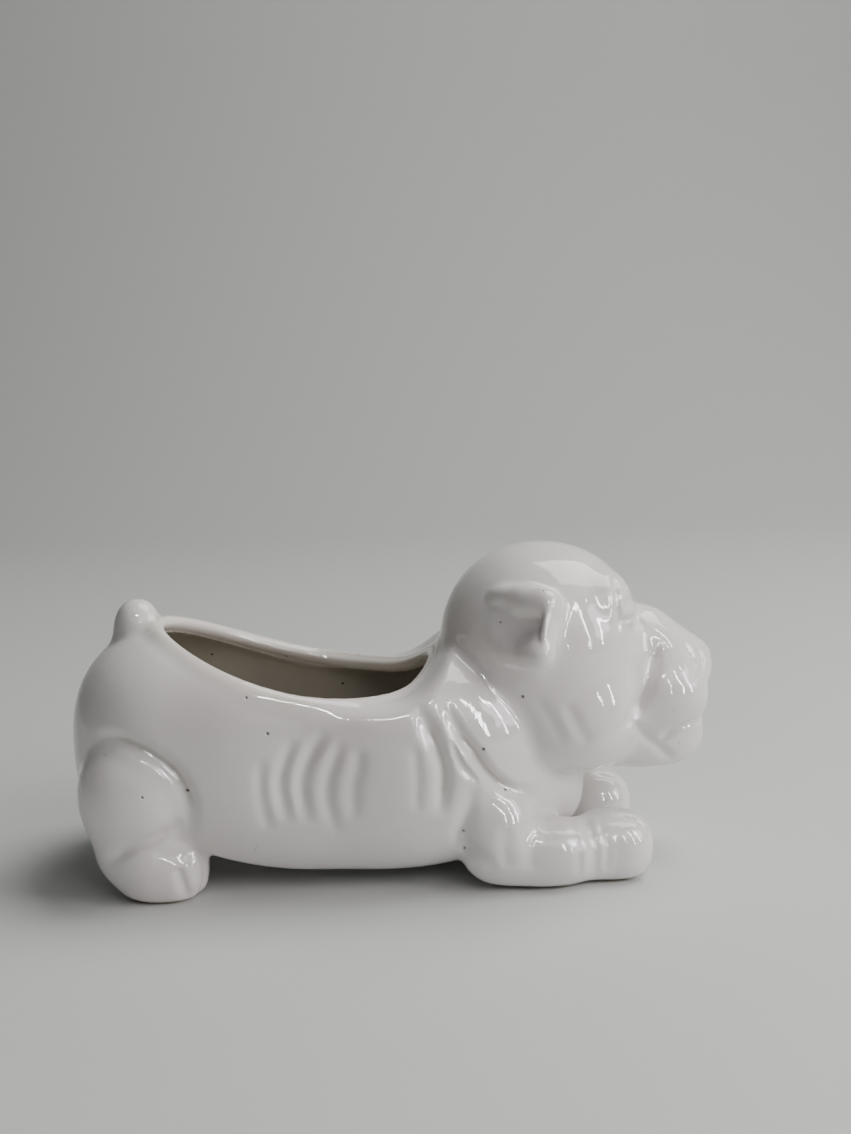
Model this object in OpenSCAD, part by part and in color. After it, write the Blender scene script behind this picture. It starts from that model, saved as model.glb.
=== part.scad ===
// Glazed ceramic bulldog pup whose back is an open planting basin.
// Slip-cast trunk and head, with ears, tail and legs luted on before firing.
// Frame: +X towards the nose, +Y to the dog's left, +Z up, origin on the
// table below the middle of the dog. Millimetres.

/* [Trunk] */
// Half of the trunk's width at its widest
trunk_half_w = 36.5; // [35:0.25:37.5]
// Height of the rump's top where the tail stands
rump_top_z = 75; // [74:0.5:76]
// Height of the flat underside above the table
belly_z = 4.5; // [3.5:0.5:6]
// Depth of the grooves between the ribs
rib_depth = 1.1; // [0.6:0.1:1.5]

/* [Basin] */
// Thickness of the cast wall
wall = 3.4; // [2.8:0.1:4]
// Height of the lip's lowest point, on both flanks
rim_low_z = 56.2; // [55:0.1:57]
// Distance along the dog of the lip's lowest point
rim_low_x = -7; // [-9:0.5:-5]
// Half of the mouth's width, to the middle of its lip
mouth_half_w = 31; // [30:0.1:32]
// Radius of the vent between the basin and the hollow head
vent_r = 3; // [2:0.5:4]

/* [Head] */
// Distance along the dog of the skull's centre
skull_x = 43; // [42.5:0.5:44]
// Height of the skull's centre
skull_z = 64; // [63:0.5:65]
// Radius of the skull, seen from the side
skull_r = 31.5; // [31:0.25:32]
// How far the muzzle reaches ahead of the skull's centre
muzzle_reach = 51; // [49:0.5:52]

/* [Ears] */
// Length of the hanging flap
ear_length = 19.5; // [18:0.5:22]
// Width of the flap, front to back
ear_width = 21.5; // [20:0.5:24]
// Thickness of the flap
ear_thick = 5.5; // [4.5:0.25:6.5]

/* [Tail] */
// Radius of the tail stub at its root
tail_r = 7; // [6:0.25:8]
// Height of the tail's tip
tail_top_z = 82; // [80:0.5:84]

/* [Legs] */
// Distance from the middle of the dog to the middle of each front paw
paw_y = 19.5; // [18.5:0.5:22]
// Distance from the middle of the dog to the middle of each hind foot
foot_y = 24; // [23:0.5:26]
// Radius of a front paw
paw_r = 11; // [10:0.25:12]
// Depth of the clefts between the toes
toe_depth = 1.3; // [0.8:0.1:1.6]

/* [Hidden] */

GLAZE = [0.91, 0.9, 0.87];
far_away = 400; // larger than the dog, for half-spaces
blend_soft = 10; // how far two lumps of the trunk flow together
blend_face = 5; // the same between the lumps of the face or a leg
neck_wall = 3; // clay between the basin and the head's seat
seek_steps = 13; // halvings of a ray when its surface point is sought
lip_r = wall / 2 + 0.4; // the lip is a little thicker than the wall

// A lump is [centre, radii, exponent along the dog, exponent across it];
// exponent 2 is an ellipsoid, more is boxier.
TRUNK = [
    [[-58, 0, 42], [37.5, trunk_half_w - 0.5, rump_top_z - 42], 2.6, 2.4], // rump
    [[-18, 0, 36], [52, trunk_half_w, 32], 2.9, 3.6], // barrel
    [[8, 0, 36], [40, trunk_half_w - 0.5, 31], 2.3, 2.6], // shoulders
    [[32, 0, 24], [17, 22, 15], 2.3, 2.3], // chest
    [[44, 0, 22], [10.5, 11, 13], 2.3, 2.3], // throat
];
nose_x = skull_x + muzzle_reach;
// The head's lumps are given on the left side, and both sides are alike.
HEAD = [
    [[skull_x, 0, skull_z], [skull_r - 1.5, skull_r - 1.5, skull_r], 2.15, 2.1], // skull
    [[skull_x + 7, 14, 47], [20, 16, 17], 2.1, 2.1], // cheek
    [[62, 0, 39.5], [24, 17, 12.5], 2.2, 2.2], // throat
    [[nose_x - 19, 0, 56], [18.5, 14.5, 15.5], 2.3, 2.2], // bridge
    [[nose_x - 17, 9.5, 50], [14, 10, 12], 2.1, 2.1], // flews
    [[nose_x - 17, 0, 37.5], [14.5, 14.5, 10.5], 2.3, 2.2], // lower jaw
    [[skull_x + 18.5, 12, 80], [6.5, 9, 7], 2.1, 2.1], // brow
    [[nose_x - 4, 0, 58], [4, 6.5, 5.5], 2, 2], // nose
];
TAIL = [
    [[-76.5, 0, 69], [tail_r, tail_r, 8], 2, 2],
    [[-76.5, 0, tail_top_z - 7], [tail_r - 0.7, tail_r - 0.7, 7], 2.1, 2.1],
];
// The legs' lumps are given on the left side.
FORELEG = [
    [[26.5, 26.5, 16], [11, 10, 14.5], 2.2, 2.2], // elbow
    [[41, 25, 9], [17, 10, 10], 2.3, 2.3], // forearm
    [[61, paw_y, 8.5], [12, paw_r, paw_r - 0.5], 2.4, 2.4], // paw, turned a little inward
];
HIND_LEG = [
    [[-74.5, 25, 30.5], [16.5, 13.8, 17], 2.2, 2.2], // haunch
    [[-75.5, 22.5, 16], [12.5, 11.5, 14], 2.2, 2.2], // hock
    [[-68, foot_y, 8], [12.5, 10.5, 11], 2.4, 2.4], // foot
];

// Creases, both sides alike: [side-view path of x and z, depth, half-width]
TRUNK_CREASES = [
    [[[-37, 49], [-38.5, 35], [-37, 22]], rib_depth, 1.5],
    [[[-31.5, 50], [-33, 35], [-31.5, 22]], rib_depth, 1.5],
    [[[-26, 51], [-27.5, 36], [-26, 21]], rib_depth, 1.5],
    [[[-21, 48], [-22, 36], [-21, 24]], rib_depth, 1.5],
    [[[8, 60], [11.5, 51], [13, 41], [11, 29]], 1.5, 2.2], // shoulder
    [[[15, 59], [18, 48], [22, 41], [28, 35], [36, 31], [45, 30]], 1.7, 1.9], // outer neck fold
    [[[14, 63], [17, 57], [22, 48], [28, 41]], 1.3, 1.7], // inner neck fold
];
HEAD_CREASES = [
    [[[70, 70], [71, 63], [69, 57], [67, 50], [61, 42]], 1.7, 2.2], // cheek and muzzle
    [[[99, 44], [88, 46.5], [82, 48]], 1.7, 1.4], // mouth
    [[[65, 43], [70, 39], [76, 33]], 0.9, 1.8], // jaw
    [[[44, 55], [45, 49], [47, 43]], 0.9, 1.8], // cheek fold behind
    [[[51, 57], [52, 50], [55, 44]], 0.9, 1.8], // cheek fold ahead
    [[[63, 75], [66, 73]], 1.6, 3], // eye
];

// ---- fields: negative inside, about the distance to the surface in millimetres ----
function blended(a, b, k) =
    let (h = max(k - abs(a - b), 0) / k)
    min(a, b) - h * h * k / 4;

function lump_field(p, l) =
    let (
        n = l[2],
        m = l[3],
        q = [for (i = [0:2]) max(abs(p[i] - l[0][i]) / l[1][i], 0.001)],
        across = pow(pow(q[1], m) + pow(q[2], m), 1 / m),
        e = pow(pow(q[0], n) + pow(across, n), 1 / n),
        swell = pow(across, n - m),
        slope = norm([
            pow(q[0], n - 1) / l[1][0],
            swell * pow(q[1], m - 1) / l[1][1],
            swell * pow(q[2], m - 1) / l[1][2],
        ])
    )
    (e - 1) * pow(e, n - 1) / slope;

function lumps_field(p, lumps, k, i = 0, so_far = 1000) =
    i == len(lumps) ? so_far :
    lumps_field(p, lumps, k, i + 1, blended(so_far, lump_field(p, lumps[i]), k));

// The lip's saddle: low on the flanks, rising gently to the rump and sharply to the neck
function rim_z(x) =
    let (d = x - rim_low_x)
    rim_low_z + (d < 0 ? 0.8 * (sqrt(d * d + 70 * 70) - 70) : 0.00125 * pow(d, 3));

trunk_field = function (p)
    -blended(
        blended(-lumps_field(p, TRUNK, blend_soft), p[2] - belly_z, 3),
        rim_z(p[0]) - 0.4 - p[2],
        5
    );
head_field = function (p)
    lumps_field([p[0], abs(p[1]), p[2]], HEAD, blend_face);
basin_field = function (p)
    max(trunk_field(p) + wall, neck_wall - head_field(p));
hollow_head_field = function (p) head_field(p) + wall;
tail_field = function (p) lumps_field(p, TAIL, 4);
foreleg_field = function (p) lumps_field(p, FORELEG, blend_face);
hind_leg_field = function (p) lumps_field(p, HIND_LEG, blend_face);
// The ear in its own frame: hanging down from the fold, outer face towards +Y
ear_field = function (p) lumps_field(p, [
    [[-1, -1.5, 1.5], [ear_width / 2 - 1, ear_thick / 2 + 1.7, 4.2], 2.3, 2],
    [[1, 0, 2 - ear_length / 2], [ear_width / 2 - 1, ear_thick / 2, ear_length / 2 - 1], 2.2, 2.1],
    [[4, 0, 7 - ear_length], [ear_width / 4, ear_thick / 2 - 0.2, 6], 2.1, 2.1],
], 4);

// ---- creases: how deep the surface is pressed in at a point ----
function bell(d, half_w) = exp(-pow(d / half_w, 2));
function gap_to_line(p, a, b) =
    let (ab = b - a, t = max(0, min(1, (p - a) * ab / (ab * ab))))
    norm(p - a - ab * t);
function gap_to_path(p, path) =
    min([for (i = [0:len(path) - 2]) gap_to_line(p, path[i], path[i + 1])]);
function deepest(p, creases) =
    max([for (c = creases) c[1] * bell(gap_to_path([p[0], p[2]], c[0]), c[2])]);
no_crease = function (p) 0;
trunk_crease = function (p) abs(p[1]) < 12 ? 0 : deepest(p, TRUNK_CREASES);
head_crease = function (p) deepest(p, HEAD_CREASES);
// Two clefts make three toes; they fade out towards the back of the paw.
function toe_crease(p, middle_y, front_x) =
    toe_depth * bell(abs(p[1] - middle_y) - paw_r / 3, 1.2)
    * max(0, min(1, (p[0] - front_x) / 4));
foreleg_crease = function (p) toe_crease(p, paw_y, 60);
hind_leg_crease = function (p) p[2] > 18 ? 0 : toe_crease(p, foot_y, -66);

// ---- skins: a closed surface found by rays from the spine a-b out to a field's zero ----
function seek(field, from, dir, lo, hi, steps = seek_steps) =
    steps == 0 ? from + dir * (lo + hi) / 2 :
    let (mid = (lo + hi) / 2)
    field(from + dir * mid) < 0 ?
        seek(field, from, dir, mid, hi, steps - 1) :
        seek(field, from, dir, lo, mid, steps - 1);

function evenly(count) = [for (i = [1:count]) i / count];

// Rows of rays stand on the spine at the given stations, and fan out round its two ends.
// gather turns the rays towards the four corners of a boxy section, in degrees.
module skin(field, crease, a, b, reach, stations, cap_rings, sides, gather = 0) {
    along = (b - a) / norm(b - a);
    lead = abs(along[2]) > 0.7 ? [1, 0, 0] : [0, 0, 1];
    side = cross(along, lead) / norm(cross(along, lead));
    up = cross(side, along);
    // Each row is [start on the spine, tilt of its rays towards the spine's end]
    rows = concat(
        [for (i = [1:cap_rings]) [a, 90 * (i / cap_rings - 1)]],
        [for (t = stations) [a + (b - a) * t, 0]],
        [for (i = [1:cap_rings - 1]) [b, 90 * i / cap_rings]]
    );
    points = concat(
        [for (row = rows, s = [0:sides - 1])
            let (
                even = 360 * s / sides,
                turn = even + gather * sin(4 * even),
                flat = cos(turn) * side + sin(turn) * up,
                dir = cos(row[1]) * flat + sin(row[1]) * along,
                p = seek(field, row[0], dir, 0, reach)
            )
            p - dir * crease(p)],
        [seek(field, a, -along, 0, reach), seek(field, b, along, 0, reach)]
    );
    last = len(rows) - 1;
    tail_pole = len(rows) * sides;
    faces = concat(
        [for (r = [0:last - 1], s = [0:sides - 1])
            let (t = (s + 1) % sides)
            each [
                [r * sides + s, (r + 1) * sides + t, (r + 1) * sides + s],
                [r * sides + s, r * sides + t, (r + 1) * sides + t],
            ]],
        [for (s = [0:sides - 1])
            let (t = (s + 1) % sides)
            each [
                [tail_pole, t, s],
                [tail_pole + 1, last * sides + s, last * sides + t],
            ]]
    );
    polyhedron(points = points, faces = faces);
}

// Freeform shapes are joined and cut as one mesh.
module as_mesh() resize([0, 0, 0]) children();

module above_table()
    translate([-far_away / 2, -far_away / 2, 0]) cube(far_away);

// ---- the mouth of the basin: an ellipse in plan ----
mouth_x = [-70.5, 11.5];
function mouth_point(turn) = [
    (mouth_x[0] + mouth_x[1]) / 2 + (mouth_x[1] - mouth_x[0]) / 2 * cos(turn),
    mouth_half_w * sin(turn),
];

module mouth() {
    translate([0, 0, 48])
        linear_extrude(height = 60)
            polygon([for (turn = [2.5:5:360]) mouth_point(turn)]);
}

module lip() {
    turns = 72;
    sides = 10;
    points = [for (i = [0:turns - 1], s = [0:sides - 1])
        let (
            turn = 360 * i / turns,
            m = mouth_point(turn),
            ahead = mouth_point(turn + 2) - mouth_point(turn - 2),
            out = [ahead[1], -ahead[0]] / norm(ahead),
            a = 360 * (s + 0.3) / sides
        )
        [
            m[0] + lip_r * cos(a) * out[0],
            m[1] + lip_r * cos(a) * out[1],
            rim_z(m[0]) - lip_r + lip_r * sin(a),
        ]];
    faces = [for (i = [0:turns - 1], s = [0:sides - 1])
        let (j = (i + 1) % turns, t = (s + 1) % sides)
        each [
            [i * sides + s, j * sides + t, j * sides + s],
            [i * sides + s, i * sides + t, j * sides + t],
        ]];
    polyhedron(points = points, faces = faces);
}

// ---- skins of the parts ----
trunk_spine = [[-62, 0, 38], [14, 0, 34]];
trunk_x = [each [-58:4:-42], each [-40:1.4:-18], each [-15:3.2:14]]; // close together along the ribs
module trunk_skin()
    skin(trunk_field, trunk_crease, trunk_spine[0], trunk_spine[1], 75,
        [for (x = trunk_x) (x - trunk_spine[0][0]) / (trunk_spine[1][0] - trunk_spine[0][0])], 9, 48, 6);
module basin_skin()
    skin(basin_field, no_crease, [-60, 0, 40], [-4, 0, 30], 70, evenly(14), 8, 32);
module head_skin()
    skin(head_field, head_crease, [42, 0, 60], [68, 0, 50], 60, evenly(10), 12, 52);
module hollow_head_skin()
    skin(hollow_head_field, no_crease, [42, 0, 60], [64, 0, 52], 60, evenly(5), 7, 24);
module tail_skin()
    skin(tail_field, no_crease, [-76.5, 0, 67], [-76.5, 0, 75], 20, evenly(3), 4, 20);
module foreleg_skin()
    skin(foreleg_field, foreleg_crease, [28, 26, 14], [60, paw_y, 10], 40, evenly(10), 7, 28);
module hind_leg_skin()
    skin(hind_leg_field, hind_leg_crease, [-75, 24, 29], [-68, foot_y, 10], 40, evenly(8), 7, 28);
module ear_skin()
    skin(ear_field, no_crease, [0, 0, 0], [0.5, 0, -ear_length / 2], 30, evenly(5), 5, 24);

// From the hollow head back down into the basin
module vent() {
    translate([skull_x - 13, 0, 56])
        rotate([0, -112, 0])
            cylinder(h = 36, r = vent_r, $fn = 32);
}

// ---- the pieces ----
module trunk_basin() color(GLAZE) as_mesh() difference() {
    union() {
        difference() {
            trunk_skin();
            basin_skin();
            mouth();
        }
        lip();
    }
    head_skin();
    vent();
}

module head() color(GLAZE) as_mesh() difference() {
    head_skin();
    hollow_head_skin();
    vent();
}

module ear(side) color(GLAZE) as_mesh() difference() {
    mirror([0, side < 0 ? 1 : 0, 0])
        translate([skull_x - 7, 24, skull_z + 19.5])
            rotate([32, -6, 4])
                ear_skin();
    head_skin();
}

module tail() color(GLAZE) as_mesh() difference() {
    tail_skin();
    trunk_skin();
    lip();
}

module foreleg(side) color(GLAZE) as_mesh() difference() {
    intersection() {
        mirror([0, side < 0 ? 1 : 0, 0]) foreleg_skin();
        above_table();
    }
    trunk_skin();
    head_skin();
}

module hind_leg(side) color(GLAZE) as_mesh() difference() {
    intersection() {
        mirror([0, side < 0 ? 1 : 0, 0]) hind_leg_skin();
        above_table();
    }
    trunk_skin();
}

trunk_basin();
head();
ear(1);  // ear_left
ear(-1);  // ear_right
tail();
foreleg(1);  // foreleg_left
foreleg(-1);  // foreleg_right
hind_leg(1);  // hind_leg_left
hind_leg(-1);  // hind_leg_right
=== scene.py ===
"""Glazed ceramic bulldog pup whose back is an open planting basin.

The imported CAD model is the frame. Each of its pieces is replaced by a finer one, cut from one
soft body of clay, so that the pieces meet without gaps and the glaze runs over their seams.
Shape numbers are millimetres in the frame's own axes: +X to the nose, +Y to the dog's left.
"""

import math

import bpy
import numpy as np
from mathutils import Matrix, Vector


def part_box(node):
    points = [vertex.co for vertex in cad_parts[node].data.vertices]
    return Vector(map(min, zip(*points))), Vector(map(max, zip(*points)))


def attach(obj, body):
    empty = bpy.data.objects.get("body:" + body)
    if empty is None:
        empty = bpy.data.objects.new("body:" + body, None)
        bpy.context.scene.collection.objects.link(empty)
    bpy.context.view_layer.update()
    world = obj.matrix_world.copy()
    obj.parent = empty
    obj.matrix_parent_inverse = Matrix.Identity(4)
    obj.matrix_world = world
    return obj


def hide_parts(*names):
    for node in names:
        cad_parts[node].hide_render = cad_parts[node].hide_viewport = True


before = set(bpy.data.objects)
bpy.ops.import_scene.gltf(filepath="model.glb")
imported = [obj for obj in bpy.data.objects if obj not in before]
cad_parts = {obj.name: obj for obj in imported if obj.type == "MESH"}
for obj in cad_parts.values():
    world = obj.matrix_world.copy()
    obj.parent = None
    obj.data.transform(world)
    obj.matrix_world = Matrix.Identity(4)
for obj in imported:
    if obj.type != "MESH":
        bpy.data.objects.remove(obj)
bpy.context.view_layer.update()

MM = 0.001


def node_box(node):
    """Lowest and highest corner of a CAD node, in millimetres."""
    low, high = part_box(node)
    return np.array(low) / MM, np.array(high) / MM


_, head_high = node_box("head")
trunk_low, trunk_high = node_box("trunk_basin")
tail_low, tail_high = node_box("tail")

# ---------------------------------------------------------------- driving dimensions
NOSE_X = head_high[0] - 1
SKULL_X = NOSE_X - 51
SKULL_Z = head_high[2] - 31.5
HALF_W = trunk_high[1] - 1.8
RUMP_X = trunk_low[0] + 37.5
RUMP_Z = trunk_high[2] - 33.8
TAIL_X = (tail_low[0] + tail_high[0]) / 2 + 0.3
WALL = 3.4
NECK_WALL = 3.0

# The underside: its lowest point, and for each end its rise per square of the distance from
# there, with the square at which it levels out.
BELLY_X, BELLY_Z = -12.0, 3.4
BELLY_REAR = (0.0041, 2300)
BELLY_FRONT = (0.0005, 900)

# The lip: its lowest point, its rise to the rump, its cubic rise to the neck, and the mouth.
RIM_LOW_X, RIM_LOW_Z = -7.0, 56.2
RIM_REAR_SLOPE, RIM_REAR_EASE = 0.8, 70
RIM_NECK_RISE = 0.00125
MOUTH_X = (-70.5, 11.5)
MOUTH_HALF_W = 31.0
LIP_R = 2.1
LINED_ABOVE_Z = 4
MOUTH_CLEAR_ABOVE_Z = 48

PAW_Y = 19.5
FOOT_Y = 24.0
PAW_R = 11.0
SOLE_Z = 0.0
TOES_FROM_X = 60
HIND_TOES_FROM_X = -66
HIND_TOES_TOP_Z = 18
TOE_GROOVE_DEPTH = 1.3
TOE_GROOVE_HALF_W = 1.2

VENT_AT = (SKULL_X - 13, 56)
VENT_TILT = math.radians(112)
VENT_LENGTH = 36
VENT_R = 3

# A lump is (centre, radii, exponent along the dog, exponent across it).
TRUNK = [
    ((RUMP_X, 0, RUMP_Z), (37.5, HALF_W - 0.5, 33), 2.6, 2.4),
    ((-18, 0, 36), (52, HALF_W, 33.5), 2.9, 3.2),
    ((8, 0, 36), (40, HALF_W - 0.5, 31), 2.3, 2.6),
    ((32, 0, 24), (17, 22, 15), 2.3, 2.3),
    ((44, 0, 22), (10.5, 11, 13), 2.3, 2.3),
]
HEAD = [
    ((SKULL_X, 0, SKULL_Z), (30, 30, 31.5), 2.15, 2.1),
    ((SKULL_X + 7, 14, 47), (20, 16, 17), 2.1, 2.1),
    ((62, 0, 39.5), (24, 17, 12.5), 2.2, 2.2),
    ((NOSE_X - 19.5, 0, 56), (17.6, 14.5, 15.3), 2.3, 2.2),
    ((NOSE_X - 17, 9.5, 50), (14, 10, 12), 2.1, 2.1),
    ((NOSE_X - 17, 0, 37.5), (14.5, 14.5, 10.5), 2.3, 2.2),
    ((SKULL_X + 17.8, 12, 80), (6.5, 9, 7), 2.1, 2.1),
    ((NOSE_X - 20, 0, 66), (8, 10, 9.2), 2.1, 2.1),
    ((NOSE_X - 4, 0, 58), (4, 6.5, 5.5), 2.0, 2.0),
]
TAIL = [
    ((TAIL_X, 0, 69), (7, 7, 8), 2.0, 2.0),
    ((TAIL_X, 0, tail_high[2] - 7), (6.3, 6.3, 7), 2.1, 2.1),
]
FORELEG = [
    ((26.5, 26.5, 16), (11, 10, 14.5), 2.2, 2.2),
    ((41, 25, 9), (17, 10, 10), 2.3, 2.3),
    ((61, PAW_Y, 8.5), (12, PAW_R, PAW_R - 0.5), 2.4, 2.4),
]
HIND_LEG = [
    ((-74.5, 25, 30.5), (16.5, 13.8, 17), 2.2, 2.2),
    ((-75.5, 22.5, 16), (12.5, 11.5, 14), 2.2, 2.2),
    ((-68, FOOT_Y, 8), (12.5, 10.5, 11), 2.4, 2.4),
]
# The ear's own lumps, outer face towards +Y: a thin base, the lobe, the dish, and the raised fold
# along the top and the front edge.
EAR_BASE = ((0, 0.4, -0.5), (9.6, 2.8, 11.0), 2.3, 2.2)
EAR_LOBE = ((5.6, 0.2, -7.0), (5.0, 4.4, 5.0), 2.1, 2.1)
EAR_DISH = ((-3.0, 6.4, -1.0), (10.0, 4.6, 7.0), 2.2, 2.2)
EAR_FOLD = [
    ((2.6, 0.8, 6.6), (7.4, 4.8, 4.6), 2.8, 2.3),
    ((-3.6, 0.6, 7.6), (8.0, 4.2, 3.6), 2.3, 2.1),
    ((8.3, 0.4, 0.6), (1.5, 4.4, 8.2), 2.2, 2.2),
]
EAR_AT = (SKULL_X - 7.2, 26.2, SKULL_Z + 11.5)
EAR_TURN = (24, 0, 34)
EYE = ((65.3, 14.5, 75.5), (4.2, 4.6, 4.4), 2.0, 2.0)
LIDS_Z, LIDS_HALF_W, LIDS_DEPTH = 75.2, 0.9, 0.7
NOSTRIL = ((NOSE_X + 0.3, 3.0, 58.3), (2.4, 1.5, 1.3), 2.0, 2.0)
LIPS_FROM_X = 84
LIP_CREASE_HALF_W = 1.1
LIP_SPLIT_Z, LIP_SPLIT_DEPTH = (43, 55), 1.3
MOUTH_LINE_Z, MOUTH_LINE_END_Y, MOUTH_LINE_DEPTH = 43.5, 9, 1.1

# A fold is (side-view points of x and z, depth, half-width); it fades out at both ends.
RIBS = [
    ([(-37.5, 44), (-38.6, 35), (-38, 28), (-36.5, 21)], 0.7, 1.8),
    ([(-28, 49.5), (-31.5, 42), (-33, 36), (-32.5, 30), (-31, 23)], 1.05, 1.9),
    ([(-19.5, 50.5), (-24, 44), (-26.5, 38), (-27, 32), (-25.5, 22)], 1.2, 1.9),
    ([(-15, 48), (-18, 41), (-20, 35), (-20, 29), (-17.5, 19)], 1.0, 1.9),
    ([(-11, 46), (-11.5, 40), (-13, 33), (-13, 23)], 0.8, 2.2),
    ([(4, 46), (4.6, 36), (4, 26)], 0.5, 1.6),
]
NECK_FOLDS = [
    ([(4.5, 57), (8.5, 49), (11, 42.5), (12, 37), (11.5, 31), (10, 24)], 2.0, 2.1),
    ([(12, 58), (16.5, 48), (20.3, 42.5), (24, 36.5), (28, 32), (32, 29), (40, 27)], 2.1, 1.8),
    ([(14, 47), (16, 41), (18, 37.5), (22.5, 33)], 0.9, 1.2),
]
LEG_FOLDS = [
    ([(20.5, 35), (19, 27), (17.5, 22), (16.8, 18), (18.5, 14.5), (21.5, 12), (27, 8)], 1.7, 2.2),
    ([(29.3, 21), (28.4, 15), (28.9, 8)], 0.45, 2.1),
    ([(35.0, 20), (35.9, 14), (35.4, 7)], 0.35, 2.1),
    ([(47.6, 19), (49.5, 12), (49.2, 4)], 0.4, 1.4),
    ([(50.5, 25), (53.0, 16.5), (54, 11), (53.6, 1)], 0.7, 1.9),
    ([(55.6, 19), (57.7, 12), (57.0, 4)], 0.3, 1.4),
    ([(-86, 46.5), (-82, 48.4), (-77, 48.6), (-72.5, 47.2), (-68, 45), (-63.8, 41.8), (-60.7, 38.3),
      (-58.9, 34), (-58.2, 30), (-58.3, 25), (-58.8, 18)], 2.0, 2.0),
    ([(-86, 10), (-79.3, 15.5), (-75.5, 18.3), (-72, 19.8), (-68, 21.3), (-65, 22.8), (-58, 26)],
     1.7, 2.0),
    ([(-69.5, 16.2), (-64, 15), (-58, 13.0)], 0.5, 1.5),
    ([(-63.0, 11.5), (-62.2, 8), (-60.6, 1)], 0.9, 1.4),
]
HEAD_FOLDS = [
    ([(77.5, 67), (74.5, 62), (72.3, 57), (69.3, 51.2), (63.7, 45.1), (56, 40)], 1.5, 2.2),
    ([(100, 43.5), (92, 43.3), (85, 43), (79, 41), (73, 36)], 1.1, 1.2),
    ([(65.5, 47.5), (69, 43), (72.5, 39.3), (77.6, 34.2), (82, 30.5)], 1.0, 1.6),
    ([(37.5, 57), (41.8, 50.3), (44, 46.2), (46.5, 41)], 0.45, 2.0),
    ([(46.5, 55), (50, 47.3), (53.5, 41)], 0.5, 2.0),
    ([(62.2, 88), (62.7, 80), (62.7, 71)], 0.6, 1.1),
    ([(64.5, 81.5), (68.1, 76.6), (72.5, 69.5)], 0.8, 1.3),
    ([(83.5, 66), (86.5, 61), (85, 55)], 0.6, 1.1),
    ([(88, 64.5), (89.8, 60), (88.5, 55)], 0.6, 0.9),
]
# Folds start this far out from the middle plane and reach their depth over this width. Those of
# the legs start further in ahead of the elbow.
BODY_FOLDS_Y, BODY_FOLDS_FADE = 12, 8
HEAD_FOLDS_Y, HEAD_FOLDS_FADE = 4, 5
LEG_FOLDS_Y, LEG_FOLDS_FADE = 26, 4
ELBOW_X, LEG_FOLDS_TAPER = 20, 0.14

# The glaze is thin where the skin bends out by more than this, and painted shade greys the folds
# where it bends in by more than this; the sole is bare, and the lining lies this deep inside the
# trunk's skin.
THIN_BEND, CREASE_SHADE_BEND, BEND_FADE = 0.16, 0.12, 0.5
BARE_BELOW_Z = 1.1
LINING_DEPTH = 1.5


# ---------------------------------------------------------------- fields, negative inside
def rise(value, width):
    """From 0, where the value is 0 or less, to 1, where it reaches the width."""
    return np.clip(value / width, 0, 1)


def bell(value, half_w):
    """1 where the value is 0, falling off smoothly to both sides."""
    return np.exp(-((value / half_w) ** 2))


def blended(a, b, fillet):
    """The smaller of two fields, with a fillet about so wide where they meet."""
    h = np.maximum(fillet - np.abs(a - b), 0) / fillet
    return np.minimum(a, b) - h * h * fillet / 4


def carved(a, b, fillet):
    """Field a with the shape b taken out of it, its edge rounded."""
    return -blended(-a, b, fillet)


def lump_field(p, lump):
    """About the distance from a lump's skin."""
    (cx, cy, cz), (rx, ry, rz), n, m = lump
    qx = np.maximum(np.abs(p[0] - cx) / rx, 0.001)
    qy = np.maximum(np.abs(p[1] - cy) / ry, 0.001)
    qz = np.maximum(np.abs(p[2] - cz) / rz, 0.001)
    across = (qy**m + qz**m) ** (1 / m)
    total = qx**n + across**n
    e = total ** (1 / n)
    swell = across ** (n - m)
    steep_across = (qy ** (m - 1) / ry) ** 2 + (qz ** (m - 1) / rz) ** 2
    steep = (qx ** (n - 1) / rx) ** 2 + swell**2 * steep_across
    return (e - 1) * (total / e) / np.sqrt(steep)


def lumps_field(p, lumps, fillet):
    """Several lumps run together."""
    field = lump_field(p, lumps[0])
    for lump in lumps[1:]:
        field = blended(field, lump_field(p, lump), fillet)
    return field


def spline(o, q, r, s, t):
    """A Catmull-Rom step from q to r."""
    square = (2 * o - 5 * q + 4 * r - s) * t * t
    return 0.5 * (2 * q + (r - o) * t + square + (3 * q - o - 3 * r + s) * t**3)


def bowed(points, steps=5):
    """A smooth run of points through the given ones."""
    pts = [points[0], *points, points[-1]]
    run = []
    for a, b, c, d in zip(pts, pts[1:], pts[2:], pts[3:]):
        for i in range(steps):
            run.append(tuple(spline(*four, i / steps) for four in zip(a, b, c, d)))
    return run + [points[-1]]


def gap_to_run(x, z, run):
    """Distance from a run of points, and how far along it the nearest point lies, from 0 to 1."""
    gap = np.full(x.shape, 1e9)
    along = np.zeros(x.shape)
    for number, ((ax, az), (bx, bz)) in enumerate(zip(run, run[1:])):
        ux, uz = bx - ax, bz - az
        t = np.clip(((x - ax) * ux + (z - az) * uz) / (ux * ux + uz * uz), 0, 1)
        here = (x - ax - t * ux) ** 2 + (z - az - t * uz) ** 2
        along = np.where(here < gap, (number + t) / (len(run) - 1), along)
        gap = np.minimum(gap, here)
    return np.sqrt(gap), along


def fold_depth(x, z, folds):
    """How far the folds press the surface in, seen from the side."""
    x, z = np.broadcast_arrays(x, z)
    pressed = np.zeros(x.shape)
    for points, depth, half_w in folds:
        run = bowed(points)
        reach = 3 * half_w
        near = np.ones(x.shape, bool)
        for place, stops in zip((x, z), zip(*run)):
            near &= (place > min(stops) - reach) & (place < max(stops) + reach)
        if near.any():
            gap, along = gap_to_run(x[near], z[near], run)
            fade = rise(np.minimum(along, 1 - along), 0.25)
            here = depth * fade * fade * (3 - 2 * fade) * bell(gap, half_w)
            pressed[near] = np.maximum(pressed[near], here)
    return pressed


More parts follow.
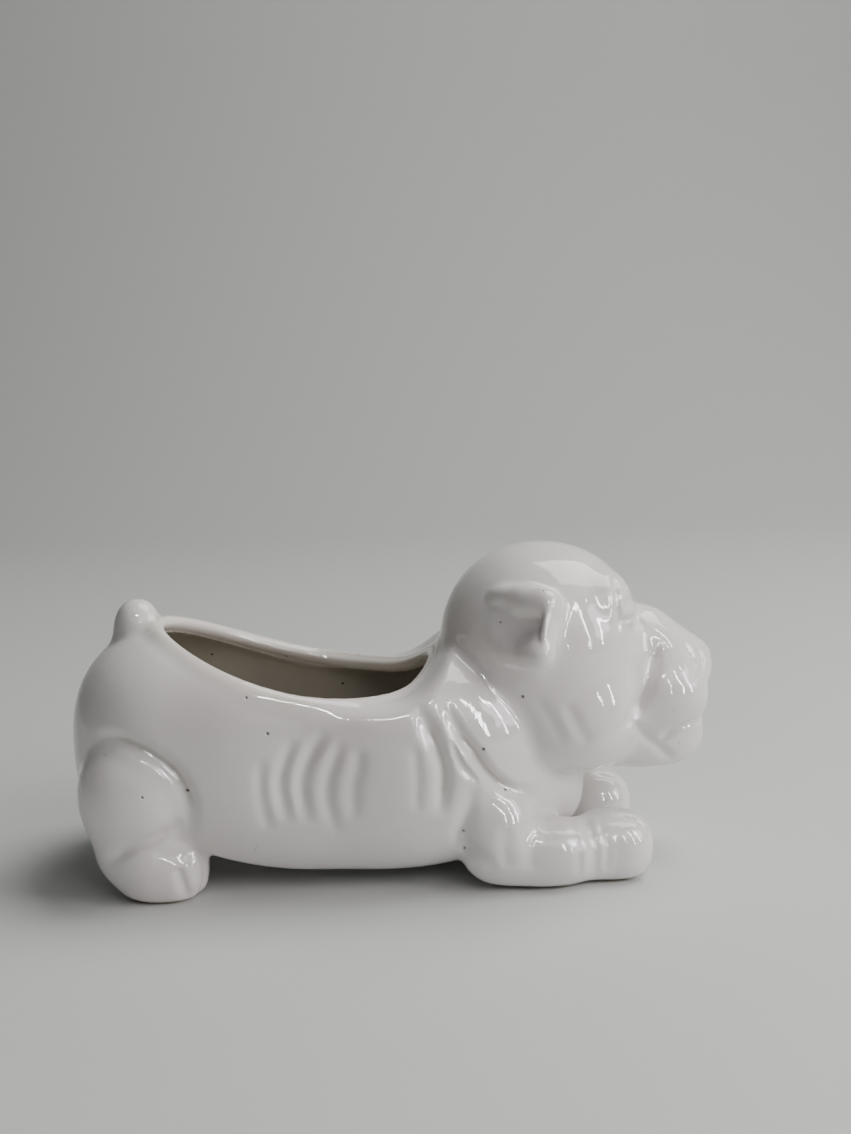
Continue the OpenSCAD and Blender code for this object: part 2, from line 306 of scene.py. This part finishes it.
def rim_z(x):
    """The lip's saddle: low on the flanks, gently up to the rump, sharply up to the neck."""
    d = x - RIM_LOW_X
    to_rump = RIM_REAR_SLOPE * (np.sqrt(d * d + RIM_REAR_EASE * RIM_REAR_EASE) - RIM_REAR_EASE)
    return RIM_LOW_Z + np.where(d < 0, to_rump, RIM_NECK_RISE * np.maximum(d, 0) ** 3)


def belly_z(x):
    """The underside hangs lowest ahead of the middle and rises to the hind legs."""
    d = x - BELLY_X
    rear, front = (bow * np.minimum(d * d, top) for bow, top in (BELLY_REAR, BELLY_FRONT))
    return BELLY_Z + np.where(d < 0, rear, front)


def trunk_skin(p):
    """The trunk without its folds and lip, cut off below by the belly and above by the rim."""
    body = blended(-lumps_field(p, TRUNK, fillet=10), p[2] - belly_z(p[0]), fillet=3)
    return -blended(body, rim_z(p[0]) - 0.4 - p[2], fillet=5)


def head_skin(p):
    """The head without its folds and face."""
    return lumps_field((p[0], np.abs(p[1]), p[2]), HEAD, fillet=5)


def lip_field(p):
    """A rounded band round the basin's mouth, and the distance from that ellipse in plan."""
    mid = (MOUTH_X[0] + MOUTH_X[1]) / 2
    half = (MOUTH_X[1] - MOUTH_X[0]) / 2
    ex, ey = (p[0] - mid) / half, p[1] / MOUTH_HALF_W
    e = np.maximum(np.sqrt(ex * ex + ey * ey), 0.01)
    plan = (e - 1) * e / np.sqrt((ex / half) ** 2 + (ey / MOUTH_HALF_W) ** 2 + 1e-12)
    x = mid + (p[0] - mid) / e
    slope = (rim_z(x + 0.5) - rim_z(x - 0.5)) * np.abs(ey) / e
    up = (p[2] - rim_z(x) + LIP_R) / np.sqrt(1 + slope * slope)
    return np.sqrt(plan * plan + up * up) - LIP_R, plan


def ear_field(p):
    """Both ears: the thin flap with its lobe and dish, and the fold standing proud of it."""
    rx, ry, rz = (math.radians(a) for a in EAR_TURN)
    x, y, z = p[0] - EAR_AT[0], np.abs(p[1]) - EAR_AT[1], p[2] - EAR_AT[2]
    x, y = x * math.cos(rz) + y * math.sin(rz), y * math.cos(rz) - x * math.sin(rz)
    x, z = x * math.cos(ry) - z * math.sin(ry), z * math.cos(ry) + x * math.sin(ry)
    y, z = y * math.cos(rx) + z * math.sin(rx), z * math.cos(rx) - y * math.sin(rx)
    q = (x, y, z)
    flap = blended(lump_field(q, EAR_BASE), lump_field(q, EAR_LOBE), fillet=2.5)
    flap = carved(flap, lump_field(q, EAR_DISH), fillet=1.2)
    return blended(flap, lumps_field(q, EAR_FOLD, fillet=2.0), fillet=0.8)


def vent_field(p):
    """The bore from the basin to the hollow head."""
    x, z = p[0] - VENT_AT[0], p[2] - VENT_AT[1]
    dx, dz = -math.sin(VENT_TILT), math.cos(VENT_TILT)
    along = x * dx + z * dz
    off = np.sqrt((x * dz - z * dx) ** 2 + p[1] ** 2) - VENT_R
    return np.maximum(np.maximum(off, -along), along - VENT_LENGTH)


def toes(p, middle_y, front_x):
    """The depth of the two grooves between a paw's three toes."""
    lane = np.abs(np.abs(p[1]) - middle_y) - PAW_R / 3
    return TOE_GROOVE_DEPTH * bell(lane, TOE_GROOVE_HALF_W) * rise(p[0] - front_x, 4)


def face(p, head):
    """Eyes, nostrils, the split of the upper lip and the line of the mouth, on the left side."""
    eye = lump_field(p, EYE)
    lids = bell(p[2] - LIDS_Z, LIDS_HALF_W) * bell(eye, 1.5)
    head = blended(head, eye, fillet=1.5) + LIDS_DEPTH * lids
    head = carved(head, lump_field(p, NOSTRIL), fillet=1.2)
    low, high = LIP_SPLIT_Z
    split = bell(p[1], LIP_CREASE_HALF_W) * rise(p[2] - low, 2) * rise(high - p[2], 3)
    mouth = bell(p[2] - MOUTH_LINE_Z, LIP_CREASE_HALF_W) * rise(MOUTH_LINE_END_Y - p[1], 3)
    creases = LIP_SPLIT_DEPTH * split + MOUTH_LINE_DEPTH * mouth
    return head + rise(p[0] - LIPS_FROM_X, 5) * creases


# Grid labels: a kind's place in the list, and LEFT more for the left one of a pair.
KINDS = ["head", "trunk_basin", "ear", "tail", "foreleg", "hind_leg"]
PAIRED = [3, 5, 6]
LEFT = 10
PIECES = {kind: number for number, kind in enumerate(KINDS, 1) if number not in PAIRED}
for pair in PAIRED:
    PIECES[KINDS[pair - 1] + "_right"] = pair
    PIECES[KINDS[pair - 1] + "_left"] = pair + LEFT


def clay(p):
    """The field of the whole dog, and of each kind of piece."""
    x, y, z = p[0], np.abs(p[1]), p[2]
    side = (x, y, z)
    smooth_trunk = trunk_skin(p)
    smooth_head = head_skin(p)
    lip, plan = lip_field(p)
    flank = rise(y - BODY_FOLDS_Y, BODY_FOLDS_FADE)
    trunk = smooth_trunk + flank * fold_depth(x, z, RIBS + NECK_FOLDS)
    trunk = blended(trunk, lip, fillet=4)
    cheek = rise(y - HEAD_FOLDS_Y, HEAD_FOLDS_FADE)
    head = face(side, smooth_head + cheek * fold_depth(x, z, HEAD_FOLDS))
    ear = ear_field(p)
    tail = lumps_field(p, TAIL, fillet=4)
    foreleg = lumps_field(side, FORELEG, fillet=5) + toes(p, PAW_Y, TOES_FROM_X)
    hind_toes = np.where(z > HIND_TOES_TOP_Z, 0, 1) * toes(p, FOOT_Y, HIND_TOES_FROM_X)
    hind_leg = lumps_field(side, HIND_LEG, fillet=5) + hind_toes
    kinds = np.broadcast_arrays(head, trunk, ear, tail, foreleg, hind_leg)

    whole = blended(head, trunk, fillet=3)
    for part, fillet in ((ear, 2.5), (tail, 3), (foreleg, 3), (hind_leg, 2.5)):
        whole = blended(whole, part, fillet)
    taper = LEG_FOLDS_TAPER * np.maximum(x - ELBOW_X, 0)
    outside = rise(y - LEG_FOLDS_Y + taper, LEG_FOLDS_FADE)
    whole = whole + outside * fold_depth(x, z, LEG_FOLDS)
    whole = carved(whole, z - SOLE_Z, fillet=2.5)
    basin = np.maximum(smooth_trunk + WALL, NECK_WALL - smooth_head)
    hollow = np.minimum(basin, np.maximum(plan, MOUTH_CLEAR_ABOVE_Z - z))
    hollow = carved(hollow, lip, fillet=1)
    hollow = np.minimum(hollow, smooth_head + WALL)
    hollow = np.minimum(hollow, vent_field(p))
    return carved(whole, hollow, fillet=0.8), kinds


# ---------------------------------------------------------------- from field to meshes
FINE = 1.0
CORNERS = [(i, j, k) for i in (0, 1) for j in (0, 1) for k in (0, 1)]
SIDES = ((1, 0, 0), (-1, 0, 0), (0, 1, 0), (0, -1, 0), (0, 0, 1), (0, 0, -1))
TETRAHEDRON = np.array([(1, 1, 1), (1, -1, -1), (-1, 1, -1), (-1, -1, 1)], float)

# The grid is finer over the head, and coarser beyond the flanks.
MARGIN = 2.5
HEAD_FROM_X, HEAD_FROM_Z = 8, 62
FLANKS_END_Y, GRID_END_Y = 38.5, 42
GRID_LOW_Z = -2.2
BODY_STEP, BODY_STEP_X, HEAD_STEP, EDGE_STEP = 0.95, 1.1, 0.85, 1.75


def stations(stops):
    """Grid lines along one axis: (from, to, spacing) runs, end to end."""
    lines = [stops[0][0]]
    for low, high, step in stops:
        count = max(1, round((high - low) / (step * FINE)))
        lines += [low + (high - low) * (i + 1) / count for i in range(count)]
    return np.array(lines)


def without_slivers(owner, few=2):
    """Gives a point that few neighbours share a piece with to the piece most of them are in."""
    padded = np.pad(owner, 1)
    spans = [[slice(1 + step, 1 + step + n) for step, n in zip(way, owner.shape)] for way in SIDES]
    around = [padded[tuple(span)] for span in spans]
    alike = sum((a == owner).astype(np.int8) for a in around)
    numbers = range(1, len(KINDS) + 1)
    votes = np.stack([sum((a == n).astype(np.int8) for a in around) for n in numbers])
    lonely = (owner > 0) & (alike <= few) & (votes.max(0) > alike)
    return np.where(lonely, votes.argmax(0).astype(np.int8) + 1, owner)


def label_clay(axes):
    """Which piece each grid point belongs to: 0 outside, then 1 for the first of KINDS and on."""
    p = (axes[0][:, None, None], axes[1][None, :, None], axes[2][None, None, :])
    whole, kinds = clay(p)
    # An earlier kind keeps its whole skin; in the fillets between two, the nearer has the clay.
    kept = -1e6
    owner = np.ones(whole.shape, np.int8)
    best = kinds[0].copy()
    best[best < 0] = kept
    for number, field in enumerate(kinds[1:], 2):
        better = field < best
        owner[better] = number
        best = np.where(better, np.where(field < 0, kept, field), best)
    owner[whole >= 0] = 0
    for _ in range(3):
        owner = without_slivers(owner)
    return owner


def clay_at(points):
    """The field at points given as rows."""
    return clay((points[:, 0], points[:, 1], points[:, 2]))[0]


def clay_slope(points, reach=0.2):
    """The field and its slope at points, from four points close round each."""
    slope = np.zeros(points.shape)
    field = np.zeros(len(points))
    for way in TETRAHEDRON:
        here = clay_at(points + reach * way)
        slope += here[:, None] * way / (4 * reach)
        field += here / 4
    return field, slope


def surface_nets(label, axes):
    """One vertex in each cell whose corners differ, and a quad across each edge whose ends differ.

    Returns the vertices, which of them lie on the outside, the quads, and the label on each
    quad's low and high side.
    """
    cells = tuple(n - 1 for n in label.shape)
    corner = [label[i:i + cells[0], j:j + cells[1], k:k + cells[2]] for i, j, k in CORNERS]
    border = np.zeros(cells, bool)
    for c in corner[1:]:
        border |= c != corner[0]
    at = np.argwhere(border)
    number = np.full(cells, -1, np.int32)
    number[border] = np.arange(len(at))
    here = np.stack([c[border] for c in corner], 1)
    middle = np.zeros((len(at), 3))
    count = np.zeros(len(at))
    for a, ca in enumerate(CORNERS):
        for b, cb in enumerate(CORNERS):
            if b > a and sum(u != v for u, v in zip(ca, cb)) == 1:
                cut = here[:, a] != here[:, b]
                middle += cut[:, None] * (np.array(ca) + np.array(cb)) / 2
                count += cut
    middle /= count[:, None]
    points = np.zeros(middle.shape)
    for d, lines in enumerate(axes):
        low = lines[at[:, d]]
        points[:, d] = low + middle[:, d] * (lines[at[:, d] + 1] - low)
    open_air = (here == 0).any(1)
    quads, low_side, high_side = [], [], []
    for d in range(3):
        u, v = (d + 1) % 3, (d + 2) % 3
        a = np.take(label, range(label.shape[d] - 1), d)
        b = np.take(label, range(1, label.shape[d]), d)
        edges = np.argwhere(a != b)
        low_side.append(a[tuple(edges.T)])
        high_side.append(b[tuple(edges.T)])
        ring = []
        for du, dv in ((-1, -1), (0, -1), (0, 0), (-1, 0)):
            cell = edges.copy()
            cell[:, u] += du
            cell[:, v] += dv
            ring.append(number[tuple(cell.T)])
        quads.append(np.stack(ring, 1))
    return points, open_air, *(np.concatenate(rows) for rows in (quads, low_side, high_side))


def onto_skin(points, passes):
    """Points moved straight onto the clay's surface, by at most one grid step a pass."""
    for _ in range(passes):
        field, slope = clay_slope(points)
        steep = np.maximum((slope**2).sum(1), 0.1)
        points = points - slope * np.clip(field / steep, -FINE, FINE)[:, None]
    return points


def neighbour_mean(points, ends):
    """Each point's neighbours' mean, along the mesh's edges."""
    total = np.zeros(points.shape)
    count = np.zeros(len(points))
    for here, there in ((0, 1), (1, 0)):
        count += np.bincount(ends[:, here], minlength=len(points))
        for d in range(3):
            total[:, d] += np.bincount(ends[:, here], points[ends[:, there], d], len(points))
    return np.where(count[:, None] > 0, total / np.maximum(count, 1)[:, None], points)


def side_steps(points, normals, reach):
    """Each point moved a step along the surface, four ways."""
    upright = np.abs(normals[:, 2:3]) > 0.8
    lead = np.where(upright, np.array([[1.0, 0, 0]]), np.array([[0, 0, 1.0]]))
    across = np.cross(normals, lead)
    across /= np.maximum(np.linalg.norm(across, axis=1), 1e-6)[:, None]
    up = np.cross(across, normals)
    return [points + reach * way * ray for ray in (across, up) for way in (-1, 1)]


def glaze_marks(points, normals, reach=1.6):
    """Where the glaze is thin, where painted shade greys the folds, where the sole is bare, or
    plain lining, from 0 to 1.
    """
    p = (points[:, 0], points[:, 1], points[:, 2])
    bend = sum(clay_at(q) for q in side_steps(points, normals, reach)) / (4 * reach)
    lip = lip_field(p)[0]
    lined = rise(-trunk_skin(p) - LINING_DEPTH, 1) * (p[2] > LINED_ABOVE_Z)
    return {
        "thin": rise(rise(bend - THIN_BEND, BEND_FADE) + 0.7 * bell(lip, 1.5), 1),
        # Painted shade mask: the folds, where the skin bends in, are greyed as if shaded.
        "painted_crease_shade": rise(-bend - CREASE_SHADE_BEND, BEND_FADE),
        "bare": rise(BARE_BELOW_Z - p[2], 0.7),
        "inside": lined * rise(lip - 0.3, 0.8),
    }


def sculpt():
    """The dog's vertices, normals, quads, the labels on both sides of each, and glaze marks."""
    half_y = stations([(0, FLANKS_END_Y, BODY_STEP), (FLANKS_END_Y, GRID_END_Y, EDGE_STEP)])
    half_y = np.concatenate([[-half_y[1] / 2], half_y + half_y[1] / 2])
    x = stations([(trunk_low[0] - MARGIN, HEAD_FROM_X, BODY_STEP_X),
                  (HEAD_FROM_X, head_high[0] + MARGIN, HEAD_STEP)])
    z = stations([(GRID_LOW_Z, HEAD_FROM_Z, BODY_STEP),
                  (HEAD_FROM_Z, head_high[2] + MARGIN, HEAD_STEP)])
    half = label_clay((x, half_y[1:], z))
    y = np.concatenate([-half_y[:0:-1], half_y[1:]])
    left = half.copy()
    left[np.isin(half, PAIRED)] += LEFT
    label = np.concatenate([half[:, ::-1], left], 1)
    points, open_air, quads, low_side, high_side = surface_nets(label, (x, y, z))

    ends = np.concatenate([quads[:, (i, (i + 1) % 4)] for i in range(4)])
    skin_ends = ends[open_air[ends].all(1)]
    for settle in (2, 1, 1):
        points[open_air] = onto_skin(points[open_air], settle)
        smoothed = neighbour_mean(points, ends)
        smoothed[open_air] = neighbour_mean(points, skin_ends)[open_air]
        points = (points + smoothed) / 2
    points[open_air] = onto_skin(points[open_air], 2)
    normals = np.zeros(points.shape)
    slope = clay_slope(points[open_air], reach=0.3)[1]
    normals[open_air] = slope / np.linalg.norm(slope, axis=1)[:, None]
    return points, normals, quads, low_side, high_side, glaze_marks(points, normals)


def dress(name, number, clay_body, material):
    """One piece of the dog as a closed mesh, which stands for its CAD node."""
    points, normals, quads, low_side, high_side, marks = clay_body
    below, above = low_side == number, high_side == number
    faces = np.concatenate([quads[below], quads[above][:, ::-1]])
    open_face = np.concatenate([high_side[below] == 0, low_side[above] == 0])
    used, corner = np.unique(faces, return_inverse=True)
    corner = corner.reshape(-1)
    mesh = bpy.data.meshes.new(name)
    mesh.vertices.add(len(used))
    mesh.vertices.foreach_set("co", (points[used] * MM).ravel())
    mesh.loops.add(len(corner))
    mesh.loops.foreach_set("vertex_index", corner)
    mesh.polygons.add(len(faces))
    mesh.polygons.foreach_set("loop_start", np.arange(len(faces)) * 4)
    mesh.update(calc_edges=True)
    mesh.polygons.foreach_set("use_smooth", np.ones(len(faces), bool))
    # The skin is shaded by the field's own slope, and the seams inside by their faces.
    flat = np.zeros(len(faces) * 3)
    mesh.polygons.foreach_get("normal", flat)
    shade = normals[used][corner]
    shade[~np.repeat(open_face, 4)] = 0
    blank = (shade**2).sum(1) < 0.5
    shade[blank] = np.repeat(flat.reshape(-1, 3), 4, 0)[blank]
    mesh.normals_split_custom_set(shade)
    for mark, values in marks.items():
        mesh.attributes.new(mark, "FLOAT", "POINT").data.foreach_set("value", values[used])
    piece = bpy.data.objects.new(name + "_glazed", mesh)
    bpy.context.scene.collection.objects.link(piece)
    mesh.materials.append(material)
    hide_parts(name)
    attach(piece, "root")


# ---------------------------------------------------------------- materials
GLAZE = ((0.82, 0.77, 0.765), (0.82, 0.80, 0.785))
GLAZE_THIN = (0.80, 0.745, 0.655)
# Painted shade: the grey mixed into the folds, where the skin bends in.
PAINTED_CREASE_SHADE = (0.66, 0.665, 0.66)
# The basin's beige lining: its own tone, darkened further with painted shade for the shadowed
# inside.
SHADED_LINING = ((0.375, 0.345, 0.29), (0.45, 0.42, 0.36))
BARE_CLAY = ((0.44, 0.33, 0.22), (0.58, 0.46, 0.33))
IRON_SPECK = (0.46, 0.40, 0.33)
PINHOLE = (0.07, 0.055, 0.045)
GLAZE_ROUGHNESS = (0.02, 0.055)
LINING_ROUGHNESS = 0.32
CLAY_ROUGHNESS = 0.8
GLAZE_IOR = 1.52
# How far the bumps stand out, in metres.
WAVES = 0.00022
ORANGE_PEEL = 0.00003
DIMPLES = 0.0004


def node(tree, kind, sockets=None, **settings):
    """A shader node with its settings, and values for its input sockets."""
    made = tree.nodes.new("ShaderNode" + kind)
    for name, value in settings.items():
        setattr(made, name, value)
    for name, value in (sockets or {}).items():
        made.inputs[name].default_value = value
    return made


def feed(tree, socket, value):
    """An input socket given an output, a colour or a number."""
    if isinstance(value, tuple):
        socket.default_value = (*value, 1)
    elif isinstance(value, float):
        socket.default_value = value
    else:
        tree.links.new(value, socket)


def faded(tree, source, low, high, to_low=0.0, to_high=1.0):
    """A value mapped from one range to another, held at both ends."""
    spans = {"From Min": low, "From Max": high, "To Min": to_low, "To Max": to_high}
    ramp = node(tree, "MapRange", spans)
    feed(tree, ramp.inputs["Value"], source)
    return ramp.outputs["Result"]


def mixed(tree, share, a, b):
    """Two colours mixed; each is a colour or an output."""
    mix = node(tree, "Mix", data_type="RGBA")
    for number, value in ((0, share), (6, a), (7, b)):
        feed(tree, mix.inputs[number], value)
    return mix.outputs[2]


def mixed_number(tree, share, a, b):
    """Two numbers mixed; each is a number or an output."""
    mix = node(tree, "Mix", data_type="FLOAT")
    for number, value in ((0, share), (2, a), (3, b)):
        feed(tree, mix.inputs[number], value)
    return mix.outputs[0]


def times(tree, a, b):
    """An output multiplied by a number or another output."""
    made = node(tree, "Math", operation="MULTIPLY")
    feed(tree, made.inputs[0], a)
    feed(tree, made.inputs[1], b)
    return made.outputs[0]


def noise(tree, place, scale, detail=2.0, roughness=0.5):
    """Cloudy noise over the surface."""
    made = node(tree, "TexNoise", {"Scale": scale, "Detail": detail, "Roughness": roughness})
    feed(tree, made.inputs["Vector"], place)
    return made.outputs["Fac"]


def dots(tree, place, scale, radii, channel, share):
    """Round soft-edged dots in a few of a pattern's cells, picked by one colour channel."""
    cells = node(tree, "TexVoronoi", {"Scale": scale}, feature="F1")
    feed(tree, cells.inputs["Vector"], place)
    chance = node(tree, "SeparateColor")
    feed(tree, chance.inputs[0], cells.outputs["Color"])
    dot = faded(tree, cells.outputs["Distance"], *radii, 1.0, 0.0)
    return times(tree, dot, faded(tree, chance.outputs[channel], *share))


def bump(tree, height, distance, under=None, invert=False):
    """A bumped normal, over another one where given."""
    made = node(tree, "Bump", {"Strength": 1.0, "Distance": distance}, invert=invert)
    feed(tree, made.inputs["Height"], height)
    if under is not None:
        feed(tree, made.inputs["Normal"], under)
    return made.outputs[0]


def glaze():
    """White glaze over cream clay: thin on edges, pinholed, bare at the sole, with painted shade
    greying the folds and partly darkening the beige lining.
    """
    material = bpy.data.materials.new("white_glaze")
    material.use_nodes = True
    tree = material.node_tree
    tree.nodes.clear()
    place = node(tree, "TexCoord").outputs["Object"]
    thin, painted_crease_shade, bare, inside = (
        node(tree, "Attribute", attribute_name=mark).outputs["Fac"]
        for mark in ("thin", "painted_crease_shade", "bare", "inside"))

    cloud = noise(tree, place, scale=22.0, detail=3.0)
    color = mixed(tree, faded(tree, cloud, 0.35, 0.68), *GLAZE)
    patchy = noise(tree, place, scale=60.0, detail=3.0)
    creamy = faded(tree, patchy, 0.3, 0.7, to_low=0.55)
    color = mixed(tree, times(tree, thin, creamy), color, GLAZE_THIN)
    # Painted shade: the folds greyed where the skin bends in.
    color = mixed(tree, times(tree, painted_crease_shade, 0.8), color, PAINTED_CREASE_SHADE)
    # The lining: a beige tone partly darkened with painted shade, varying at random over the
    # inside.
    stain = noise(tree, place, scale=45.0, detail=4.0)
    shaded_lining = mixed(tree, faded(tree, stain, 0.3, 0.7), *SHADED_LINING)
    color = mixed(tree, inside, color, shaded_lining)

    # Sparse dark pinholes and faint iron specks in the glaze.
    pinhole = dots(tree, place, scale=170.0, radii=(0.05, 0.105), channel=0, share=(0.87, 0.88))
    speck = dots(tree, place, scale=210.0, radii=(0.05, 0.16), channel=1, share=(0.965, 0.975))
    color = mixed(tree, times(tree, speck, 0.35), color, IRON_SPECK)
    color = mixed(tree, times(tree, pinhole, 0.85), color, PINHOLE)
    grit = noise(tree, place, scale=900.0, detail=4.0, roughness=0.6)
    sole = mixed(tree, faded(tree, grit, 0.3, 0.7), *BARE_CLAY)
    color = mixed(tree, bare, color, sole)

    sheen = noise(tree, place, scale=110.0, detail=3.0)
    gloss = faded(tree, sheen, 0.3, 0.75, *GLAZE_ROUGHNESS)
    roughness = mixed_number(tree, inside, gloss, LINING_ROUGHNESS)
    roughness = mixed_number(tree, bare, roughness, CLAY_ROUGHNESS)

    # The glaze's slow waves, its fine orange peel, and the dimples of the pinholes.
    normal = bump(tree, noise(tree, place, scale=100.0), WAVES)
    normal = bump(tree, noise(tree, place, scale=620.0), ORANGE_PEEL, normal)
    normal = bump(tree, pinhole, DIMPLES, normal, invert=True)

    shader = node(tree, "BsdfPrincipled", {"IOR": GLAZE_IOR})
    feed(tree, shader.inputs["Base Color"], color)
    feed(tree, shader.inputs["Roughness"], roughness)
    feed(tree, shader.inputs["Normal"], normal)
    feed(tree, node(tree, "OutputMaterial").inputs["Surface"], shader.outputs[0])
    return material


# ---------------------------------------------------------------- stage, lights and camera
SHEET_COLOR = (0.60, 0.615, 0.60)
SHEET_ROUGHNESS = 0.75
SHEET_HALF_W = 2.4
SHEET_FRONT_Y, SHEET_BEND_Y, SHEET_BEND_R, SHEET_TOP_Z = -1.6, 0.75, 0.5, 2.6

ROOM_COLOR = (0.8, 0.83, 0.84, 1)
ROOM_STRENGTH = 0.06
AIM = (0, 0, 0.05)
WHITE = (1.0, 1.0, 1.0)
ABOVE = (1.0, 1.0, 0.965)
BESIDE = (1.0, 0.955, 0.965)
# A lamp is (name, place and size in metres, watts, colour, whether only the gloss shows it).
LAMPS = [
    ("ceiling", (0.6, 0.25, 1.25), (0.9, 0.9), 17, ABOVE, False),
    ("right_wall", (0.68, -0.26, 0.36), (0.36, 0.36), 3.4, BESIDE, False),
    ("room", (0.45, -0.80, 0.70), (0.6, 0.5), 2.0, BESIDE, False),
    ("window_edge_a", (0.86, -0.42, 0.45), (0.035, 0.75), 6.0, WHITE, True),
    ("window_edge_b", (0.66, -0.66, 0.45), (0.035, 0.75), 6.0, WHITE, True),
    ("window_far", (0.38, -0.84, 0.40), (0.02, 0.5), 2.6, WHITE, True),
    ("skylight", (0.06, -0.75, 0.80), (0.25, 0.04), 4.5, WHITE, True),
]

LENS, SENSOR_WIDTH = 42.83, 36
CAMERA_ANGLES = (8.873, 1.302, 1.55)
CAMERA_PLACE = (9.313, 394.37, 150.54)


def backdrop():
    """A pale sheet that lies under the dog and sweeps up behind it."""
    profile = [(SHEET_FRONT_Y, 0.0), (SHEET_BEND_Y, 0.0)]
    for a in np.linspace(0.1, math.pi / 2, 14):
        profile.append((
            SHEET_BEND_Y + SHEET_BEND_R * math.sin(a), SHEET_BEND_R - SHEET_BEND_R * math.cos(a)))
    profile.append((SHEET_BEND_Y + SHEET_BEND_R, SHEET_TOP_Z))
    points = [(x, y, z) for x in (-SHEET_HALF_W, SHEET_HALF_W) for y, z in profile]
    count = len(profile)
    faces = [(i, i + 1, count + i + 1, count + i) for i in range(count - 1)]
    mesh = bpy.data.meshes.new("backdrop")
    mesh.from_pydata(points, [], faces)
    mesh.polygons.foreach_set("use_smooth", [True] * len(faces))
    sheet = bpy.data.objects.new("backdrop", mesh)
    bpy.context.scene.collection.objects.link(sheet)
    material = bpy.data.materials.new("pale_sheet")
    material.use_nodes = True
    shader = material.node_tree.nodes["Principled BSDF"]
    shader.inputs["Base Color"].default_value = (*SHEET_COLOR, 1)
    shader.inputs["Roughness"].default_value = SHEET_ROUGHNESS
    mesh.materials.append(material)


def lights():
    """Soft light from above and from the dog's front right, and the bright edges of a window."""
    world = bpy.data.worlds.new("room")
    world.use_nodes = True
    sky = world.node_tree.nodes["Background"]
    sky.inputs["Color"].default_value = ROOM_COLOR
    sky.inputs["Strength"].default_value = ROOM_STRENGTH
    bpy.context.scene.world = world
    for name, place, size, power, color, only_gloss in LAMPS:
        data = bpy.data.lights.new(name, "AREA")
        data.shape = "RECTANGLE"
        data.size, data.size_y = size
        data.energy = power
        data.color = color
        lamp = bpy.data.objects.new(name, data)
        bpy.context.scene.collection.objects.link(lamp)
        lamp.location = place
        aim = Vector(AIM) - Vector(place)
        lamp.rotation_euler = aim.to_track_quat("-Z", "Y").to_euler()
        lamp.visible_diffuse = not only_gloss
        lamp.visible_camera = False


def camera():
    """The view of the dog's right side from a little above."""
    data = bpy.data.cameras.new("camera")
    data.lens = LENS
    data.sensor_width = SENSOR_WIDTH
    cam = bpy.data.objects.new("camera", data)
    bpy.context.scene.collection.objects.link(cam)
    pitch, yaw, roll = (math.radians(a) for a in CAMERA_ANGLES)
    across, distance, height = CAMERA_PLACE
    cam.location = (
        (across * math.cos(yaw) - distance * math.sin(yaw)) * MM,
        (-distance * math.cos(yaw) - across * math.sin(yaw)) * MM,
        height * MM,
    )
    turn = Matrix.Rotation(-yaw, 4, "Z") @ Matrix.Rotation(math.pi / 2 - pitch, 4, "X")
    cam.rotation_euler = (turn @ Matrix.Rotation(-roll, 4, "Z")).to_euler()
    bpy.context.scene.camera = cam


camera()
backdrop()
lights()
white = glaze()
clay_body = sculpt()
for piece_name, piece_number in PIECES.items():
    dress(piece_name, piece_number, clay_body, white)
